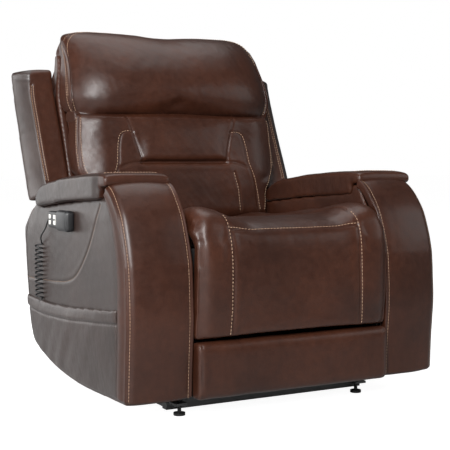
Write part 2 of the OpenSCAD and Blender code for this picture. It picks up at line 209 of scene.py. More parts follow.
def extrude(name, outline, x_one, x_other):
    """A closed prism from a (y, z) outline, between two values of x in either order."""
    ring = np.asarray(outline, float)
    n = len(ring)
    low = np.column_stack([np.full(n, min(x_one, x_other)), ring])
    high = np.column_stack([np.full(n, max(x_one, x_other)), ring])
    faces = [tuple(range(n)), tuple(range(2 * n - 1, n - 1, -1))]
    faces += [(i, i + n, (i + 1) % n + n, (i + 1) % n) for i in range(n)]
    return make(name, np.vstack([low, high]), faces)


def leaned(yz, angle):
    """(y, z) points turned about the origin, in degrees."""
    a = math.radians(angle)
    yz = np.asarray(yz, float)
    return np.column_stack([yz[:, 0] * math.cos(a) - yz[:, 1] * math.sin(a),
                            yz[:, 0] * math.sin(a) + yz[:, 1] * math.cos(a)])


def padded(name, outline, x_one, x_other, voxel, rounds, lean=0.0):
    """A soft slab: a prism, remeshed into even small faces and rounded at its edges.
    A slab that leans back is remeshed upright, so that its face comes out flat."""
    obj = extrude(name, leaned(outline, lean), x_one, x_other)
    remesh = obj.modifiers.new("remesh", "REMESH")
    remesh.mode = "VOXEL"
    remesh.voxel_size = voxel / 1000
    bake(obj)
    p = coords(obj)
    p[:, 1:] = leaned(p[:, 1:], -lean)
    place(obj, p)
    soften(obj, rounds)
    return obj


def soften(obj, rounds):
    """Rounds a mesh off by moving each point towards its neighbours."""
    smooth = obj.modifiers.new("smooth", "SMOOTH")
    smooth.factor = 0.5
    smooth.iterations = rounds
    bake(obj)


def refine(obj):
    """Splits each face in four and evens the result."""
    sub = obj.modifiers.new("subdivision", "SUBSURF")
    sub.levels = 1
    sub.render_levels = 1
    bake(obj)
    soften(obj, 5)


def nearness(points, path, step=2.0):
    """Distance of each point from a path."""
    dense = even(path, step)
    tree = KDTree(len(dense))
    for i, p in enumerate(dense):
        tree.insert(p, i)
    tree.balance()
    return np.array([tree.find(p)[2] for p in points])


def close_to(points, path, margin):
    """Indices of the points inside a path's box, grown by a margin."""
    low = np.min(path, axis=0) - margin
    high = np.max(path, axis=0) + margin
    return np.nonzero(np.all((points > low) & (points < high), axis=1))[0]


def groove(obj, paths, depth, width):
    """Presses a seam into the surface along each path, with a slight swell beside it."""
    points = coords(obj)
    normal = normals(obj)
    push = np.zeros(len(points))
    for path in paths:
        near = close_to(points, path, SEAM_REACH)
        d = nearness(points[near], path)
        dip = -depth * np.exp(-((d / width) ** 2))
        rise = 0.15 * depth * np.exp(-(((d - 3.2 * width) / (2.0 * width)) ** 2))
        push[near] += dip + rise
    place(obj, points + normal * push[:, None])


def wave(points, scale, seed):
    """Smooth, repeatable unevenness of about that wavelength, mostly between -1 and 1."""
    rng = np.random.default_rng(seed)
    total = np.zeros(len(points))
    for _ in range(WAVES):
        direction = rng.normal(size=3)
        direction /= np.linalg.norm(direction)
        freq = 2 * math.pi / (scale * rng.uniform(0.55, 1.8))
        total += np.sin(points @ direction * freq + rng.uniform(0, 6.28))
    return 2 * total / (WAVES + 1)


def uneven(obj, *layers):
    """Ripples a surface along its normals. Each layer has a height, a wavelength and a seed."""
    p = coords(obj)
    push = sum(height * wave(p, scale, seed) for height, scale, seed in layers)
    place(obj, p + normals(obj) * push[:, None])


def swell(obj, seams, cap, pressure):
    """Blows the cover up with cloth pressure, held along its seams, and caps how far it moves."""
    rest = coords(obj)
    held = np.zeros(len(rest), bool)
    for path in seams:
        near = close_to(rest, path, 2 * SEAM_HOLD)
        held[near[nearness(rest[near], path) < SEAM_HOLD]] = True
    group = obj.vertex_groups.new(name="held")
    group.add(np.nonzero(held)[0].tolist(), 1.0, "REPLACE")
    cloth = obj.modifiers.new("swell", "CLOTH")
    setup = cloth.settings
    setup.vertex_group_mass = "held"
    setup.use_pressure = True
    setup.uniform_pressure_force = pressure
    setup.effector_weights.gravity = 0.0
    setup.quality = 5
    setup.tension_stiffness = 25
    setup.compression_stiffness = 25
    setup.shear_stiffness = 10
    setup.bending_stiffness = 3
    cloth.collision_settings.use_collision = False
    cloth.point_cache.frame_start = 1
    cloth.point_cache.frame_end = SWELL_FRAMES
    scene = bpy.context.scene
    for f in range(1, SWELL_FRAMES + 1):
        scene.frame_set(f)
    bake(obj)
    scene.frame_set(1)
    obj.vertex_groups.clear()
    moved = coords(obj) - rest
    size = np.linalg.norm(moved, axis=1)
    moved *= np.minimum(1.0, cap / np.maximum(size, 1e-6))[:, None]
    place(obj, rest + moved)


def both(path):
    """A path and its mirror image on the other side."""
    path = np.asarray(path, float)
    return [path, path * [-1, 1, 1]]


# ---------------------------------------------------------------- stitching and cord

STITCH_SIDES = 6
STITCH_RINGS = 6
CORD_SIDES = 8
SEW_REACH = 0.025  # metres


def stitch_mesh(length, radius):
    """One stitch: a thread that dips at both ends."""
    points = []
    for t in np.linspace(-1, 1, STITCH_RINGS):
        r = radius * math.sqrt(max(0.06, 1 - t**4))
        for k in range(STITCH_SIDES):
            a = 2 * math.pi * k / STITCH_SIDES
            points.append((t * length / 2, r * math.cos(a), r * math.sin(a) - 0.9 * radius * t**4))
    return np.array(points), ring_faces(STITCH_RINGS, STITCH_SIDES)


def landed(tree, line):
    """Where each point of a line lands on a cover, with the surface's normal, or None if it is too far."""
    spots = []
    for p in row(line):
        hit, up, _, far = tree.find_nearest(Vector(p))
        near = hit is not None and far <= SEW_REACH
        spots.append((np.array(hit) * 1000 + [0, MID_Y, 0], np.array(up)) if near else None)
    return spots


def sewn(name, cover, paths, body=None, pitch=9.5, length=7.2, radius=1.05, lift=0.45):
    """Thread stitches lying on a cover along paths, riding with the body that the cover rides with."""
    mesh = cover.data
    tree = BVHTree.FromPolygons([v.co for v in mesh.vertices], [tuple(p.vertices) for p in mesh.polygons])
    shape, shape_faces = stitch_mesh(length, radius)
    points, faces = [], []
    for path in paths:
        spots = landed(tree, even(path, pitch))
        for start, stop in zip(spots, spots[1:]):
            if start is None or stop is None:
                continue
            along = stop[0] - start[0]
            size = np.linalg.norm(along)
            if size < 0.4 * pitch or size > 2.2 * pitch:
                continue
            along /= size
            up = start[1] + stop[1]
            up = up - along * (up @ along)
            up /= np.linalg.norm(up)
            across = np.cross(up, along)
            centre = (start[0] + stop[0]) / 2 + up * lift
            base = len(points) * len(shape)
            points.append(centre + shape[:, :1] * along + shape[:, 1:2] * across + shape[:, 2:] * up)
            faces += [tuple(base + k for k in f) for f in shape_faces]
    obj = shaded(make(name, np.vstack(points), faces, THREAD))
    if body:
        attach(obj, body)
    return obj


def tube(name, path, radius, material):
    """A round cord along a path."""
    path = np.asarray(path, float)
    tangent = np.gradient(path, axis=0)
    tangent /= np.linalg.norm(tangent, axis=1)[:, None]
    side = np.cross(tangent[0], [0.31, 0.22, 0.93])
    points = []
    for centre, ahead in zip(path, tangent):
        side = side - ahead * (side @ ahead)
        side /= np.linalg.norm(side)
        other = np.cross(ahead, side)
        for k in range(CORD_SIDES):
            a = 2 * math.pi * k / CORD_SIDES
            points.append(centre + radius * (math.cos(a) * side + math.sin(a) * other))
    return shaded(make(name, points, ring_faces(len(path), CORD_SIDES), material))


# ---------------------------------------------------------------- materials

def nodes_of(name):
    """A new material, its node tree and its surface shader."""
    material = bpy.data.materials.new(name)
    material.use_nodes = True
    tree = material.node_tree
    return material, tree, tree.nodes["Principled BSDF"]


def link(tree, a, b):
    """Joins an output to an input."""
    tree.links.new(a, b)


def object_spot(tree):
    """Coordinates that move with the object."""
    return tree.nodes.new("ShaderNodeTexCoord").outputs["Object"]


def texture(tree, kind, scale, coordinates, **settings):
    """A texture node, with its inputs set by name."""
    node = tree.nodes.new(kind)
    node.inputs["Scale"].default_value = scale
    for key, value in settings.items():
        node.inputs[key].default_value = value
    link(tree, coordinates, node.inputs["Vector"])
    return node


def ramp(tree, source, stops):
    """Turns a level into a colour."""
    node = tree.nodes.new("ShaderNodeValToRGB")
    while len(node.color_ramp.elements) < len(stops):
        node.color_ramp.elements.new(0.5)
    for element, (at, colour) in zip(node.color_ramp.elements, stops):
        element.position = at
        element.color = (*colour, 1)
    link(tree, source, node.inputs["Fac"])
    return node.outputs["Color"]


def between(tree, source, low, high, socket):
    """Drives a socket between two values."""
    node = tree.nodes.new("ShaderNodeMapRange")
    node.inputs["To Min"].default_value = low
    node.inputs["To Max"].default_value = high
    link(tree, source, node.inputs["Value"])
    link(tree, node.outputs["Result"], socket)


def mix(tree, factor, a, b, blend="MIX"):
    """Mixes two colours. Each value is a number, a colour or a socket."""
    node = tree.nodes.new("ShaderNodeMix")
    node.data_type = "RGBA"
    node.blend_type = blend
    for value, socket in ((factor, node.inputs[0]), (a, node.inputs[6]), (b, node.inputs[7])):
        if isinstance(value, (int, float)):
            socket.default_value = value
        elif isinstance(value, tuple):
            socket.default_value = (*value, 1)
        else:
            link(tree, value, socket)
    return node.outputs[2]


def bump(tree, height, strength, distance, under=None):
    """Turns a height into a normal, on top of another bump if one is given."""
    node = tree.nodes.new("ShaderNodeBump")
    node.inputs["Strength"].default_value = strength
    node.inputs["Distance"].default_value = distance
    link(tree, height, node.inputs["Height"])
    if under:
        link(tree, under, node.inputs["Normal"])
    return node.outputs["Normal"]


def grey(level):
    """A neutral colour."""
    return (level, level, level)


def worn_edges(tree, colour, worn, start, full, most):
    """Mixes in a worn colour where the surface is most convex."""
    edge = tree.nodes.new("ShaderNodeNewGeometry")
    mask = ramp(tree, edge.outputs["Pointiness"], [(start, grey(0)), (full, grey(most))])
    return mix(tree, mask, colour, worn)


BROWN = ((0.024, 0.0074, 0.0038), (0.050, 0.0150, 0.0070), (0.110, 0.042, 0.024))
WELT_BROWN = ((0.024, 0.0074, 0.0038), (0.055, 0.022, 0.014), (0.110, 0.042, 0.024))
# Greyer, less brown colours for surfaces that face sideways: painted reflection of the big panel lights on the
# left and behind.
SIDE_REFLECTION_GREY = ((0.018, 0.0105, 0.0085), (0.036, 0.0215, 0.0180), (0.085, 0.058, 0.048))
THREAD_TAN = (0.34, 0.215, 0.138)
# Near-black for the cloth on the wrapped boards, and for the sheets behind the pads, where it paints the shade in
# the gaps.
CLOTH_BLACK_AND_SHADE = (0.010, 0.009, 0.009)
STRAP_GREY = (0.10, 0.095, 0.085)


def leather(name, colours, rough=0.37, shine=0.29):
    """Finished leather: pebble grain, creases, mottled dye and lighter wear on its edges."""
    dark, mid, worn = colours
    material, tree, surface = nodes_of(name)
    spot = object_spot(tree)
    broad = texture(tree, "ShaderNodeTexNoise", 5, spot, Detail=5, Roughness=0.55)
    mottle = texture(tree, "ShaderNodeTexNoise", 60, spot, Detail=4, Roughness=0.6)
    dye = ramp(tree, broad.outputs["Fac"], [(0.30, dark), (0.72, mid)])
    speck = ramp(tree, mottle.outputs["Fac"], [(0.35, (0.80, 0.78, 0.78)), (0.70, (1.10, 1.12, 1.12))])
    colour = mix(tree, 0.8, dye, speck, "MULTIPLY")
    colour = worn_edges(tree, colour, worn, 0.50, 0.62, 0.55)
    grain = texture(tree, "ShaderNodeTexVoronoi", 520, spot, Randomness=0.9)
    grain.feature = "DISTANCE_TO_EDGE"
    pebble = ramp(tree, grain.outputs["Distance"], [(0.0, grey(0.35)), (0.16, grey(1))])
    colour = mix(tree, 0.55, colour, pebble, "MULTIPLY")
    link(tree, colour, surface.inputs["Base Color"])
    crease = texture(tree, "ShaderNodeTexNoise", 34, spot, Detail=6, Roughness=0.62, Distortion=0.6)
    normal = bump(tree, crease.outputs["Fac"], 0.22, 0.0016)
    normal = bump(tree, pebble, 0.20, 0.00022, normal)
    fine = texture(tree, "ShaderNodeTexNoise", 1600, spot, Detail=2)
    normal = bump(tree, fine.outputs["Fac"], 0.10, 0.00010, normal)
    link(tree, normal, surface.inputs["Normal"])
    between(tree, mottle.outputs["Fac"], rough - 0.07, rough + 0.12, surface.inputs["Roughness"])
    surface.inputs["Specular IOR Level"].default_value = shine
    surface.inputs["Coat Weight"].default_value = 0.09
    surface.inputs["Coat Roughness"].default_value = 0.26
    return material


def thread(name, colour):
    """Twisted polyester thread."""
    material, tree, surface = nodes_of(name)
    twist = texture(tree, "ShaderNodeTexWave", 900, object_spot(tree), Distortion=1.5)
    shade = ramp(tree, twist.outputs["Fac"], [(0.2, tuple(0.72 * c for c in colour)), (0.8, colour)])
    link(tree, shade, surface.inputs["Base Color"])
    link(tree, bump(tree, twist.outputs["Fac"], 0.4, 0.0002), surface.inputs["Normal"])
    surface.inputs["Roughness"].default_value = 0.62
    return material


def plain(name, colour, rough, grain, bumps, metallic=0.0, vary=0.18, wear=None):
    """A hard finish with fine texture, slight colour variation and, for paint, worn edges."""
    material, tree, surface = nodes_of(name)
    spot = object_spot(tree)
    cloud = texture(tree, "ShaderNodeTexNoise", 14, spot, Detail=5)
    low = tuple(c * (1 - vary) for c in colour)
    high = tuple(min(1, c * (1 + vary)) for c in colour)
    shade = ramp(tree, cloud.outputs["Fac"], [(0.3, low), (0.7, high)])
    if wear:
        shade = worn_edges(tree, shade, wear, 0.53, 0.60, 0.7)
    link(tree, shade, surface.inputs["Base Color"])
    fine = texture(tree, "ShaderNodeTexNoise", grain, spot, Detail=4)
    link(tree, bump(tree, fine.outputs["Fac"], bumps, 0.0004), surface.inputs["Normal"])
    between(tree, fine.outputs["Fac"], rough - 0.08, rough + 0.10, surface.inputs["Roughness"])
    surface.inputs["Metallic"].default_value = metallic
    return material


def timber(name):
    """Raw plywood with stretched grain."""
    material, tree, surface = nodes_of(name)
    stretch = tree.nodes.new("ShaderNodeMapping")
    stretch.inputs["Scale"].default_value = (22, 2.4, 22)
    link(tree, object_spot(tree), stretch.inputs["Vector"])
    grain = texture(tree, "ShaderNodeTexNoise", 6, stretch.outputs["Vector"], Detail=8, Roughness=0.7)
    shade = ramp(tree, grain.outputs["Fac"], [(0.3, (0.30, 0.185, 0.095)), (0.7, (0.52, 0.36, 0.20))])
    link(tree, shade, surface.inputs["Base Color"])
    link(tree, bump(tree, grain.outputs["Fac"], 0.25, 0.0008), surface.inputs["Normal"])
    surface.inputs["Roughness"].default_value = 0.68
    return material


def woven(name, colour, sheen=0.25):
    """Coarse woven strap or dust cloth."""
    material, tree, surface = nodes_of(name)
    weave = texture(tree, "ShaderNodeTexChecker", 700, object_spot(tree))
    dark = tuple(0.55 * c for c in colour)
    weave.inputs["Color1"].default_value = (*colour, 1)
    weave.inputs["Color2"].default_value = (*dark, 1)
    link(tree, weave.outputs["Color"], surface.inputs["Base Color"])
    link(tree, bump(tree, weave.outputs["Fac"], 0.4, 0.0005), surface.inputs["Normal"])
    surface.inputs["Roughness"].default_value = 0.88
    surface.inputs["Sheen Weight"].default_value = sheen
    surface.inputs["Specular IOR Level"].default_value = 0.12
    return material


LEATHER = leather("brown_leather", BROWN)
WELT = leather("leather_welt", WELT_BROWN)
# Side leather whose greyer base colour paints the reflection of the side panel lights.
SIDE_PAINTED_REFLECTION = leather("side_painted_reflection", SIDE_REFLECTION_GREY, 0.38, 0.46)
THREAD = thread("tan_thread", THREAD_TAN)
# Near-black cloth without sheen: the wrapped boards' own cloth, and painted shade where it fills the gaps behind
# the pads.
DARK_CLOTH_AND_SHADE = woven("dust_cloth_and_shade", CLOTH_BLACK_AND_SHADE, 0.0)
FINISHES = {
    "brown_leather": LEATHER,
    "timber": timber("timber"),
    "webbing": woven("webbing", STRAP_GREY),
    "black_steel": plain("black_steel", (0.012, 0.012, 0.013), 0.42, 900, 0.20, vary=0.2, wear=grey(0.10)),
    "zinc_steel": plain("zinc_steel", (0.55, 0.55, 0.53), 0.32, 500, 0.05, metallic=1.0, vary=0.12),
    "grey_plastic": plain("grey_plastic", (0.020, 0.020, 0.022), 0.55, 1200, 0.25),
    "foot_rubber": plain("foot_rubber", (0.016, 0.016, 0.016), 0.70, 600, 0.20),
    "black_plastic": plain("black_plastic", (0.010, 0.010, 0.011), 0.38, 1500, 0.18),
    "cord_rubber": plain("cord_rubber", (0.008, 0.008, 0.009), 0.45, 1500, 0.12),
    "pale_plastic": plain("pale_plastic", (0.62, 0.61, 0.57), 0.45, 1500, 0.10, vary=0.06),
}


def finish(obj, material, body=None, nodes=()):
    """Gives a piece its material and smooth shading, attaches it to its body and hides the CAD nodes it stands
    for.
    """
    obj.data.materials.clear()
    obj.data.materials.append(material)
    shaded(obj)
    if nodes:
        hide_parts(*nodes)
    if body:
        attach(obj, body)
    return obj


def painted_reflection_cut(obj, inside):
    """Gives the greyer leather, a painted reflection of the big panel light on the left, to the faces whose
    corners all pass a test. The rest keep their leather.
    """
    mesh = obj.data
    mesh.materials.append(SIDE_PAINTED_REFLECTION)
    chosen = inside(coords(obj), normals(obj))
    for face in mesh.polygons:
        face.material_index = int(all(chosen[v] for v in face.vertices))


def blended(obj):
    """Bakes a piece's placement into its points."""
    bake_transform(obj)


# ---------------------------------------------------------------- seat and calf pad

PANEL_SEAM_X = 196.0
FOOTBOARD_HALF = 292.0
LINING_HALF = 294.0


def across_hinge(obj):
    """Bakes the placement of a piece that spans the seat and the footrest into its points."""
    blended(obj)


def side_roll(x):
    """0 across the seat, rising to 1 at its rounded sides."""
    return smoothstep(np.abs(x), 246, 292) ** 2


def seat_lift(x):
    """How much the seat's sides stand above its middle."""
    return 36.0 * smoothstep(np.abs(x), 120, 250) - 13.0 - 17.0 * side_roll(x)


def chaise():
    """The seat and the calf pad in one padded piece, with its two side panels sewn on."""
    top = spline([(606, 468), (600, 479), (520, 477), (400, 480), (260, 491), (150, 507), (84, 520),
                  (40, 520), (4, 508), (-20, 486), (-33, 455), (-38, 415), (-40, 350), (-40, 290),
                  (-36, 245)], 6)
    outline = np.vstack([top, arc((-18, 228), 17, 195, 268), [(-4, 211), (1, 218), (1.3, 436), (3, 456),
                         (14, 474), (34, 484), (58, 480), (72, 446), (600, 446)]])
    obj = padded("chaise_pad", outline, -SEAT_HALF - 3, SEAT_HALF + 3, 6.0, 8)
    p = coords(obj)
    n = normals(obj)
    upward = smoothstep(n[:, 2], 0.1, 0.9) * smoothstep(p[:, 2], 455, 485)
    forward = smoothstep(-n[:, 1], 0.2, 0.9) * smoothstep(p[:, 1], 20, -10)
    fade = 1 - 0.55 * smoothstep(p[:, 1], 200, 560)
    p[:, 2] += upward * (seat_lift(p[:, 0]) * fade)
    p[:, 1] += forward * (15.0 * side_roll(p[:, 0]) - 5.0 * smoothstep(np.abs(p[:, 0]), 150, 240))
    rear_rim = smoothstep(p[:, 1], -34, -4) * (p[:, 1] < 40)
    p[:, 0] *= 1 + 0.016 * rear_rim * smoothstep(506 - p[:, 2], 0, 24)
    place(obj, p)
    side_seam = [(PANEL_SEAM_X + 14, 540, 505), (PANEL_SEAM_X + 4, 300, 508), (PANEL_SEAM_X, 150, 520),
                 (PANEL_SEAM_X, 60, 532), (PANEL_SEAM_X, 10, 515), (PANEL_SEAM_X, -22, 486),
                 (PANEL_SEAM_X - 2, -36, 440), (PANEL_SEAM_X - 2, -42, 350), (PANEL_SEAM_X, -40, 220)]
    sides = both(spline(side_seam, 8))
    cross = spline([(-PANEL_SEAM_X, -22, 487), (-90, -21, 488), (0, -21, 488), (90, -21, 488),
                    (PANEL_SEAM_X, -22, 487)], 8)
    swell(obj, sides + [cross], 7.0, 2.5)
    refine(obj)
    groove(obj, sides + [cross], 3.4, 3.6)
    uneven(obj, (0.9, 90, 3), (0.35, 30, 4))
    beside = [side[side[:, 1] < 20] + [6.0 * np.sign(side[0][0]), 0, 0] for side in sides]
    stitches = sewn("chaise_stitches", obj, beside + [cross + [0, 3, 5]])
    finish(obj, LEATHER, None, ["seat_cushion", "ottoman_pad"])
    across_hinge(obj)
    across_hinge(stitches)
    # A near-black sheet behind the calf pad: painted shade in the gap.
    lining("chaise_shade_sheet", 19.4, 21.2, 146, 440, "footrest")


def lining(name, y_front, y_back, z_low, z_high, body):
    """Thin near-black cloth behind a pad, which paints the shade in the gap behind it."""
    outline = [(y_front, z_low), (y_back, z_low), (y_back, z_high), (y_front, z_high)]
    obj = extrude(name, outline, -LINING_HALF, LINING_HALF)
    finish(obj, DARK_CLOTH_AND_SHADE, body)


def footboard():
    """The padded lower panel."""
    outline = np.vstack([arc((-20, 80), 19, 180, 265), [(1.3, 61), (1.3, 206)], arc((-18, 188), 20, 85, 180)])
    obj = padded("footboard_cover", outline, -FOOTBOARD_HALF, FOOTBOARD_HALF, 6.0, 8)
    p = coords(obj)
    p[:, 0] *= 1 + 0.014 * smoothstep(p[:, 1], -14, -4)
    n = normals(obj)
    crown = smoothstep(-n[:, 1], 0.2, 0.9) * (1 - (p[:, 0] / FOOTBOARD_HALF) ** 6)
    crown *= np.clip(1 - ((p[:, 2] - 133) / 74) ** 4, 0, 1)
    p[:, 1] -= 3.0 * crown
    place(obj, p)
    refine(obj)
    edge = both(spline([(281, -33, 70), (283, -36, 130), (281, -32, 198)], 10))
    groove(obj, edge, 2.4, 3.2)
    uneven(obj, (0.8, 80, 13), (0.3, 26, 14))
    finish(obj, LEATHER, "footboard", ["footboard_pad"])
    # A near-black sheet behind the lower panel: painted shade in the gap.
    lining("footboard_shade_sheet", 17.3, 18.9, 64, 200, "footboard")


# ---------------------------------------------------------------- back and headrest

def back_crown(x, z):
    """How far the padding stands forward of the flat between its side seams."""
    u = np.clip(np.abs(x) / BACK_HALF, 0, 1)
    full = 22 + 14 * smoothstep(z, 520, 640)
    bolster = 7 * np.exp(-(((np.abs(x) - 268) / 34) ** 2)) * smoothstep(z, 560, 640)
    roll = 9 * smoothstep(150 - np.abs(x), -4, 26) * smoothstep(z, 655, 676) * smoothstep(800 - z, 0, 120)
    return full * (1 - u**5) + bolster + roll


def back_face_y(x, z):
    """Depth of the back's front face, below the headrest."""
    return 612 + (z - 500) * 0.222 - back_crown(x, z)


def on_back(points, out=0.0):
    """(x, z) points laid on the back's front face."""
    return np.array([(x, back_face_y(x, z) - out, z) for x, z in points], float)


def back_half(z):
    """Half the back cushion's width."""
    return 294 + 49 * smoothstep(z, 545, 640) - 10 * smoothstep(z, 660, 790)


NECK_HALF = 336.0
BACK_WALL_IN = 316.0
BACK_WALL_OUT = 343.0
LUMBAR_SIDE = [(187, 796), (178, 765), (167, 733), (156, 695), (146, 655)]
BACK_SEAM = [(167, 748), (192, 749), (208, 738), (215, 715), (219, 690), (224, 650), (240, 605), (251, 560),
             (256, 500)]
LOWER_SEAM = [(172, 622), (178, 600), (186, 565), (189, 500)]
BACK_EDGE = [(288, 500), (306, 575), (334, 640), (338, 720), (332, 790)]


def back_cushion():
    """The back cushion with its lumbar panel, outlined by seams."""
    face = spline([(614, 452), (611, 470), (613, 500), (644, 640), (660, 716), (667, 760), (672, 786),
                   (682, 799), (702, 803)], 5)
    outline = np.vstack([face, [(790, 799), (692, 500), (672, 452)]])
    obj = padded("back_cushion_cover", outline, -BACK_HALF - 1, BACK_HALF + 1, 6.0, 8, 12.5)
    p = coords(obj)
    p[:, 0] *= back_half(p[:, 2]) / BACK_HALF
    n = normals(obj)
    forward = smoothstep(-n[:, 1], 0.1, 0.8)
    p[:, 1] -= forward * back_crown(p[:, 0], p[:, 2]) * smoothstep(p[:, 2], 462, 510)
    place(obj, p)
    soften(obj, 4)
    side = spline(LUMBAR_SIDE, 6)
    panel = both(on_back(side)) + [on_back([(x, 655) for x in np.linspace(-146, 146, 40)])]
    outline_seams = both(on_back(spline(BACK_SEAM, 6)))
    lower_seams = both(on_back(spline(LOWER_SEAM, 6)))
    rim = both(on_back(spline(BACK_EDGE, 8), -6))
    swell(obj, panel + outline_seams + rim, 12.0, 3.0)
    refine(obj)
    groove(obj, [panel[2]], 10.0, 5.5)
    groove(obj, panel[:2], 3.4, 2.8)
    ends = both(on_back(spline([(146, 655), (185, 652), (220, 640)], 8)))
    groove(obj, ends, 2.2, 4.0)
    groove(obj, outline_seams + lower_seams, 2.2, 2.8)
    groove(obj, rim, 3.4, 3.4)
    p = coords(obj)
    n = normals(obj)
    x, z = np.abs(p[:, 0]), p[:, 2]
    top_gather = smoothstep(z, 740, 795) * smoothstep(x, 190, 330)
    low_gather = np.exp(-(((z - 600) / 34) ** 2)) * smoothstep(x, 250, 310)
    pucker = 2.4 * (top_gather + low_gather) * smoothstep(-n[:, 1], 0, 0.6)
    ripple = 1.1 * wave(p, 85, 23) + 0.4 * wave(p, 28, 24) + pucker * wave(p * [0.35, 0.3, 1], 24, 25)
    place(obj, p + n * ripple[:, None])
    finish(obj, LEATHER, "backrest", ["back_cushion"])
    outer = on_back(spline([(x + 6, z) for x, z in BACK_SEAM], 6))
    inner = on_back(spline([(x - 3, z) for x, z in LOWER_SEAM], 6))
    sewn("back_seam_stitches", obj, both(outer) + both(inner), "backrest", pitch=9.0, length=7.0, radius=1.0)
    rim_stitch = both(on_back(spline([(x - 8, z) for x, z in BACK_EDGE], 8)))
    side_stitch = both(on_back(spline([(x + 1, z) for x, z in BACK_EDGE[2:]], 8), -13))
    sewn("back_rim_stitches", obj, rim_stitch + side_stitch, "backrest", pitch=8.0, length=6.2, radius=0.95)


def shoulder(p):
    """How the back and the pillow narrow towards their upper rear corners."""
    upper = smoothstep(p[:, 2], 840, 980)
    rear = smoothstep(p[:, 1], 790, 890)
    return 1 - 0.032 * upper - rear * (0.020 * upper + 0.045 * smoothstep(p[:, 2], 985, 1050))


def headrest():
    """The pillow, which bulges forward over the crease below it."""
    front = spline([(704, 799), (684, 793), (668, 797), (658, 812), (656, 850), (668, 900), (692, 950),
                    (724, 998), (758, 1034), (792, 1055), (826, 1062), (862, 1055), (886, 1036), (897, 1010),
                    (890, 985)], 6)
    outline = np.vstack([front, [(856, 984), (786, 806)]])
    half = BACK_HALF + 2
    obj = padded("headrest_cover", outline, -half, half, 6.0, 12)
    p = coords(obj)
    n = normals(obj)
    x = np.abs(p[:, 0]) / half
    forward = smoothstep(-n[:, 1] + 0.4 * n[:, 2], -0.2, 0.6) * smoothstep(880 - p[:, 1], 0, 60)
    full = 20 + 10 * np.sin(np.clip((p[:, 2] - 800) / 230, 0, 1) * math.pi)
    p[:, 1] += forward * (46 * x**6 - full * (1 - x**4))
    p[:, 0] *= 1 - 0.03 * smoothstep(850 - p[:, 2], 0, 60)
    p[:, 0] *= shoulder(p)
    dip = 8 * np.exp(-(((p[:, 0] - 6) / 90) ** 2))
    p[:, 2] -= smoothstep(p[:, 2], 975, 1050) * (7 * x**9 + dip)
    place(obj, p)
    rim = spline([(333, 702, 800), (341, 712, 850), (341, 730, 905), (335, 754, 960), (328, 780, 1002),
                  (312, 800, 1030), (276, 812, 1048), (200, 816, 1055), (100, 816, 1056), (0, 816, 1053)], 8)
    rims = both(rim)
    swell(obj, rims, 12.0, 3.0)
    soften(obj, 8)
    refine(obj)
    groove(obj, rims, 3.6, 3.6)
    p = coords(obj)
    n = normals(obj)
    low = smoothstep(870 - p[:, 2], 0, 70)
    ends = smoothstep(np.abs(p[:, 0]), 170, 330)
    gather = low * smoothstep(-n[:, 1], 0.0, 0.7) * (0.1 + 2.3 * ends)
    ripple = 1.2 * wave(p, 90, 33) + 0.4 * wave(p, 30, 34) + gather * wave(p * [1, 0.3, 0.22], 24, 35)
    place(obj, p + n * ripple[:, None])
    finish(obj, LEATHER, "headrest", ["headrest_pillow"])
    inner = both(rim - [7, 5, 0])
    sewn("headrest_rim_stitches", obj, inner, "headrest", pitch=8.0, length=6.2, radius=1.0)
    outer = both(rim[:60] + [2, 8, 0])
    sewn("headrest_side_stitches", obj, outer, "headrest", pitch=8.0, length=6.2, radius=0.9)


def neck():
    """The soft gusset behind the crease, between back and headrest."""
    loop = [(690, 776), (684, 788), (688, 800), (698, 812), (740, 812), (764, 806), (768, 790), (760, 776)]
    obj = padded("neck_gusset", spline(loop, 5, closed=True), -NECK_HALF, NECK_HALF, 5.0, 4)
    refine(obj)
    finish(obj, WELT)
    blended(obj)


def wing(side, name):
    """A padded wing beside the back, whose outer side flares back from its stitched front edge."""
    front = spline([(690, 562), (706, 598), (731, 650), (778, 753), (826, 858), (848, 912)], 6)
    rear = spline([(897, 920), (882, 866), (858, 802), (796, 664), (738, 534)], 6)
    outline = np.vstack([front, arc((868, 920), 24, 150, 70), arc((882, 929), 16, 60, -30), rear])
    widest = WING_OUT + 9
    obj = padded(f"wing_cover_{name}", outline, side * (BACK_HALF + 1), side * widest, 5.0, 3, 25.0)
    p = coords(obj)
    out = np.abs(p[:, 0])
    face_y = np.interp(p[:, 2], front[:, 1], front[:, 0])
    back_y = np.interp(p[:, 2], rear[::-1, 1], rear[::-1, 0])
    depth = np.clip((p[:, 1] - face_y) / np.maximum(back_y - face_y, 1), 0, 1)
    narrow = np.clip((out - BACK_HALF) / (widest - BACK_HALF), 0, 1) ** 1.5
    p[:, 0] -= side * 43 * (1 - depth) ** 1.5 * narrow
    p[:, 2] -= smoothstep(p[:, 2], 900, 945) * narrow**2 * 12
    place(obj, p)
    soften(obj, 5)
    rim = spline([(418, 703, 600), (419, 730, 653), (420, 777, 753), (420, 825, 855), (417, 840, 892)], 8)
    rim = rim * [side, 1, 1]
    refine(obj)
    groove(obj, [rim], 2.8, 3.2)
    uneven(obj, (0.9, 90, 43 + side), (0.3, 28, 45))
    finish(obj, LEATHER, None, [f"wing_{name}"])
    rim_y = rim[:, 1] + 3

    def outer_side(p, n):
        past_rim = np.abs(p[:, 0]) - 418 + 0.6 * (p[:, 1] - np.interp(p[:, 2], rim[:, 2], rim_y))
        return (past_rim > 2) & (n[:, 0] * side > 0.15)

    # Faces on the wing's outer side get the greyer leather, a painted reflection.
    painted_reflection_cut(obj, outer_side)
    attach(obj, "backrest")
    rows = [rim - [side * 3.5, 2, 0], rim + [side * 3, 3, 0]]
    sewn(f"wing_stitches_{name}", obj, rows, "backrest", pitch=8.5, length=6.6, radius=1.0)


